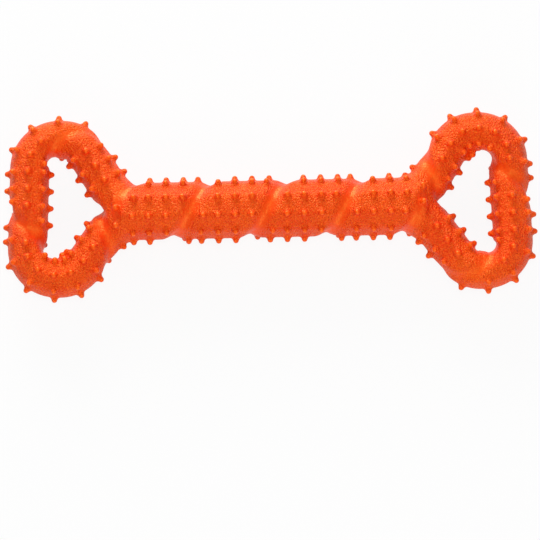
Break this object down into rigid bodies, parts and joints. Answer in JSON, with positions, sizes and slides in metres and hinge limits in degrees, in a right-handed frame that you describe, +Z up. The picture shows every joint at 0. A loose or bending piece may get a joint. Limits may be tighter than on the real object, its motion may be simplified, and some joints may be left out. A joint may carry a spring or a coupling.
{
  "type": "rubber chew toy",
  "caption": "Orange rubber chew toy for dogs: a nubbed round bar with a winding groove and a closed tug loop at each end.",
  "frame": {"origin": "middle of the box around the toy as it lies on a floor, on the floor", "axes": "+X along the bar towards the right loop, +Y across the loops towards the side they lean to, +Z up from the floor"},
  "size_m": [0.3812, 0.1353, 0.0466],
  "materials": {
    "orange_rubber": "matt, finely grained, slightly satin on rounded edges"
  },
  "bodies": {
    "root": {"centre_bar": "orange_rubber", "left_loop": "orange_rubber", "right_loop": "orange_rubber", "left_root_nubs": "orange_rubber", "right_root_nubs": "orange_rubber", "bar_nub_row_1": "orange_rubber", "bar_nub_row_2": "orange_rubber", "bar_nub_row_3": "orange_rubber", "bar_nub_row_4": "orange_rubber", "bar_nub_row_5": "orange_rubber", "bar_nub_row_6": "orange_rubber", "bar_nub_row_7": "orange_rubber", "bar_nub_row_8": "orange_rubber", "bar_nub_row_9": "orange_rubber", "bar_nub_row_10": "orange_rubber", "left_nub_row_1": "orange_rubber", "left_nub_row_2": "orange_rubber", "left_nub_row_3": "orange_rubber", "left_nub_row_4": "orange_rubber", "left_nub_row_5": "orange_rubber", "left_nub_row_6": "orange_rubber", "left_nub_row_7": "orange_rubber", "left_nub_row_8": "orange_rubber", "right_nub_row_1": "orange_rubber", "right_nub_row_2": "orange_rubber", "right_nub_row_3": "orange_rubber", "right_nub_row_4": "orange_rubber", "right_nub_row_5": "orange_rubber", "right_nub_row_6": "orange_rubber", "right_nub_row_7": "orange_rubber", "right_nub_row_8": "orange_rubber"}
  },
  "joints": []
}
